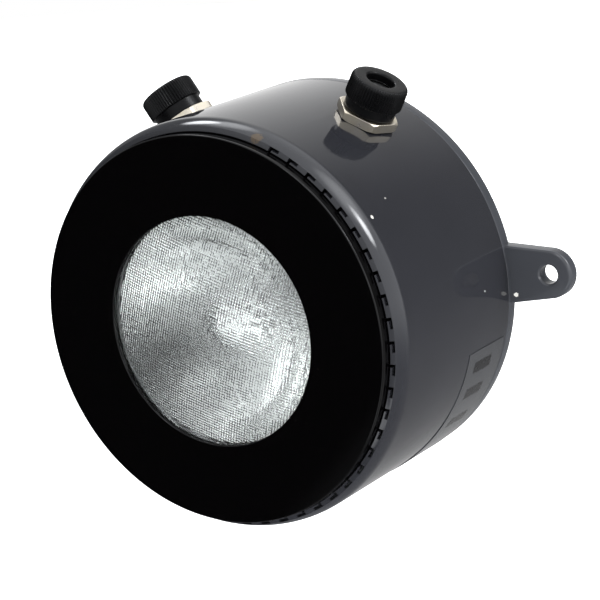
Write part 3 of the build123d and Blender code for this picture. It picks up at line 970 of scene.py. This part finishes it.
def label_grid(name, span, heights, inner, outer):
    """A thin curved plate, built as a grid so that it follows the drum."""
    (start, end), (low, high) = span, heights
    columns = max(4, int(abs(start - end)))
    bent = [start + (end - start) * i / columns for i in range(columns + 1)]
    points = []
    for a in bent:
        for r, h in ((inner, low), (outer, low), (outer, high), (inner, high)):
            points.append(LAMP @ Vector(polar(r, a, h)))
    faces = grid_faces(columns + 1, 4, wrap_columns=False)
    faces += [(0, 1, 2, 3), tuple(range(4 * columns, 4 * columns + 4))]
    return finish_shape(name, shape_from(points, faces))


def label_plate():
    """A plain plate with three dark bars where lettering would be."""
    plate = label_grid("label_sheet", (LABEL_START, LABEL_END), (LABEL_LOW_H, LABEL_HIGH_H),
                       DRUM_R + 0.00001, LABEL_R)
    stand_for(plate, "label_plate")
    ink = label_ink()
    for number, span in enumerate(BAR_SPANS, 1):
        bar = label_grid(f"label_bar_{number}", span, (BAR_LOW_H, BAR_HIGH_H),
                         LABEL_R - 0.00005, LABEL_R + 0.00003)
        bar.data.materials.append(ink)
        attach(bar, "housing")


# ---- studio ----
WHITE = (1.0, 1.0, 1.0, 1.0)
COOL_WHITE = (0.95, 0.97, 1.0, 1.0)
FLOOR_DROP = 0.45
FLOOR_HALF = 6.0
VIEW_AZIMUTH = radians(34.12)
VIEW_ELEVATION = radians(12.58)
VIEW_ROLL = radians(7.6)
VIEW_AIM = Vector((0.0366, -0.0932, 0.0099))
VIEW_DISTANCE = 1.05
VIEW_LENS_MM = 142.1
VIEW_BACK = Vector(
    (
        sin(VIEW_AZIMUTH) * cos(VIEW_ELEVATION),
        -cos(VIEW_AZIMUTH) * cos(VIEW_ELEVATION),
        sin(VIEW_ELEVATION),
    )
)
# The direction that a surface facing -Y mirrors to the viewer.
VIEW_MIRRORED = (-VIEW_BACK.x, VIEW_BACK.y, -VIEW_BACK.z)

# Patches of light: direction, the angles where each is full and gone, brightness.
WINDOWS = (
    ((0.80, 0.29, 0.51), 0.5, 9, 15),
    ((0.74, 0.27, 0.60), 0.5, 8, 8),
    ((0.62, 0.30, 0.70), 0, 22, 2.6),
    ((-0.52, 0.41, 0.74), 1, 8, 11),
    ((-0.35, 0.41, 0.80), 0, 14, 3.0),
)
LAMPS = (
    ((0.15, -0.72, 0.68), 7, 11, 5.0),
    ((0.86, -0.45, 0.20), 7, 11, 2.5),
    ((-0.41, -0.81, -0.41), 4, 8, 3.2),
    ((0.20, -0.80, -0.55), 7, 11, 2.0),
    ((-0.05, -0.85, -0.52), 3, 7, 2.2),
)


class Room:
    """The light that comes from each direction round the object, as a world shader."""

    def __init__(self):
        world = bpy.data.worlds.new("studio")
        world.use_nodes = True
        bpy.context.scene.world = world
        self.tree = world.node_tree
        self.tree.nodes.clear()
        place = self.node("ShaderNodeTexCoord")
        self.direction = place.outputs["Generated"]
        split = self.node("ShaderNodeSeparateXYZ", {0: self.direction})
        self.x, self.y, self.z = split.outputs

    def node(self, kind, inputs=None, **settings):
        return add_node(self.tree, kind, inputs, settings)

    def ramp(self, source, start, end, low, high):
        inputs = {0: source, 1: start, 2: end, 3: low, 4: high}
        return self.node("ShaderNodeMapRange", inputs, interpolation_type="SMOOTHSTEP").outputs[0]

    def math(self, operation, a, b):
        return self.node("ShaderNodeMath", {0: a, 1: b}, operation=operation).outputs[0]

    def along(self, x, y, z):
        """How far each direction points along another, from -1 to 1."""
        inputs = {0: self.direction, 1: Vector((x, y, z)).normalized()}
        return self.node("ShaderNodeVectorMath", inputs, operation="DOT_PRODUCT").outputs["Value"]

    def blend(self, factor, a, b):
        return self.node("ShaderNodeMix", {0: factor, 2: a, 3: b}).outputs[0]

    def lobe(self, toward, inner, outer, strength):
        """A soft round patch of light between two angles from a direction."""
        near, far = cos(radians(inner)), cos(radians(outer))
        return self.ramp(self.along(*toward), far, near, 0.0, strength)


def room_light(room):
    """Cool light from windows, sides and front, and plain light from the wall behind."""
    raised = room.ramp(room.z, -0.5, 0.0, 0.0, 1.0)
    behind = room.ramp(room.y, 0.64, 0.76, 0.0, 1.0)
    ahead = room.ramp(room.y, 0.1, -0.35, 0.0, 1.0)

    # The wall behind is bright at the upper left and falls off to the right.
    wall_low = room.ramp(room.x, -0.5, 0.45, 0.45, 0.25)
    wall_high = room.ramp(room.x, -0.55, 0.5, 1.05, 0.12)
    plain = room.math("MULTIPLY", behind, room.blend(raised, wall_low, wall_high))

    # The sides brighten toward the upper right, and so does the room in front.
    slant = room.along(0.8, 0.0, 0.6)
    lit = room.math("MULTIPLY", room.ramp(slant, -0.2, 0.5, 0.0, 1.3), raised)
    sides = room.math("ADD", lit, 0.25)
    front = room.ramp(room.along(0.6, 0.0, 0.8), -0.5, 0.3, 0.14, 1.05)
    beside = room.blend(ahead, room.blend(behind, sides, 0.0), front)
    for toward, inner, outer, strength in LAMPS:
        beside = room.math("ADD", beside, room.lobe(toward, inner, outer, strength))

    # The front ring mirrors a dark patch, and the windows lie outside it.
    shade = room.math("SUBTRACT", 1.0, room.lobe(VIEW_MIRRORED, 12, 22, 0.97))
    cool = room.math("MULTIPLY", beside, shade)
    for toward, inner, outer, strength in WINDOWS:
        cool = room.math("ADD", cool, room.lobe(toward, inner, outer, strength))
    return cool, plain


def studio():
    """Soft light from the room's directions, on a white ground with a white floor."""
    room = Room()
    cool, plain = room_light(room)
    cool_light = room.node("ShaderNodeBackground", {0: COOL_WHITE, 1: cool})
    plain_light = room.node("ShaderNodeBackground", {0: WHITE, 1: plain})
    light = room.node("ShaderNodeAddShader", {0: cool_light.outputs[0], 1: plain_light.outputs[0]})
    white = room.node("ShaderNodeBackground", {0: WHITE, 1: 1.0})
    eye = room.node("ShaderNodeLightPath").outputs["Is Camera Ray"]
    mix = room.node("ShaderNodeMixShader", {0: eye, 1: light.outputs[0], 2: white.outputs[0]})
    room.node("ShaderNodeOutputWorld", {0: mix.outputs[0]})

    low, half = cad_box[0].z - FLOOR_DROP, FLOOR_HALF
    mesh = bpy.data.meshes.new("floor")
    corners = [(-half, -half, low), (half, -half, low), (half, half, low), (-half, half, low)]
    mesh.from_pydata(corners, [], [(0, 1, 2, 3)])
    mesh.materials.append(pale_floor())
    floor = link("floor", mesh)
    floor.visible_glossy = False
    floor.visible_transmission = False


def camera():
    data = bpy.data.cameras.new("camera")
    data.lens = VIEW_LENS_MM
    data.sensor_width = 36.0
    eye = bpy.data.objects.new("camera", data)
    bpy.context.scene.collection.objects.link(eye)
    turn = Matrix.Rotation(VIEW_AZIMUTH, 3, "Z")
    turn = turn @ Matrix.Rotation(pi / 2 - VIEW_ELEVATION, 3, "X")
    turn = turn @ Matrix.Rotation(-VIEW_ROLL, 3, "Z")
    eye.matrix_world = Matrix.Translation(VIEW_AIM + VIEW_BACK * VIEW_DISTANCE) @ turn.to_4x4()
    bpy.context.scene.camera = eye


# ---- everything, in place ----
for name, node in nodes.items():
    node.data.materials.clear()
    node.data.materials.append(MATERIALS[SLOT_OF[name]])

drum_shell()
base_plate()
front_ring()
lamp_lens()
lamp_reflector()
lamp_filament()
for side in SIDES:
    gland_body(side)
    gland_locknut(side)
    gland_cap(side)
    gland_seal(side)
    gland_slip_ring(side)
label_plate()
studio()
camera()
bpy.context.scene.view_settings.view_transform = "Standard"
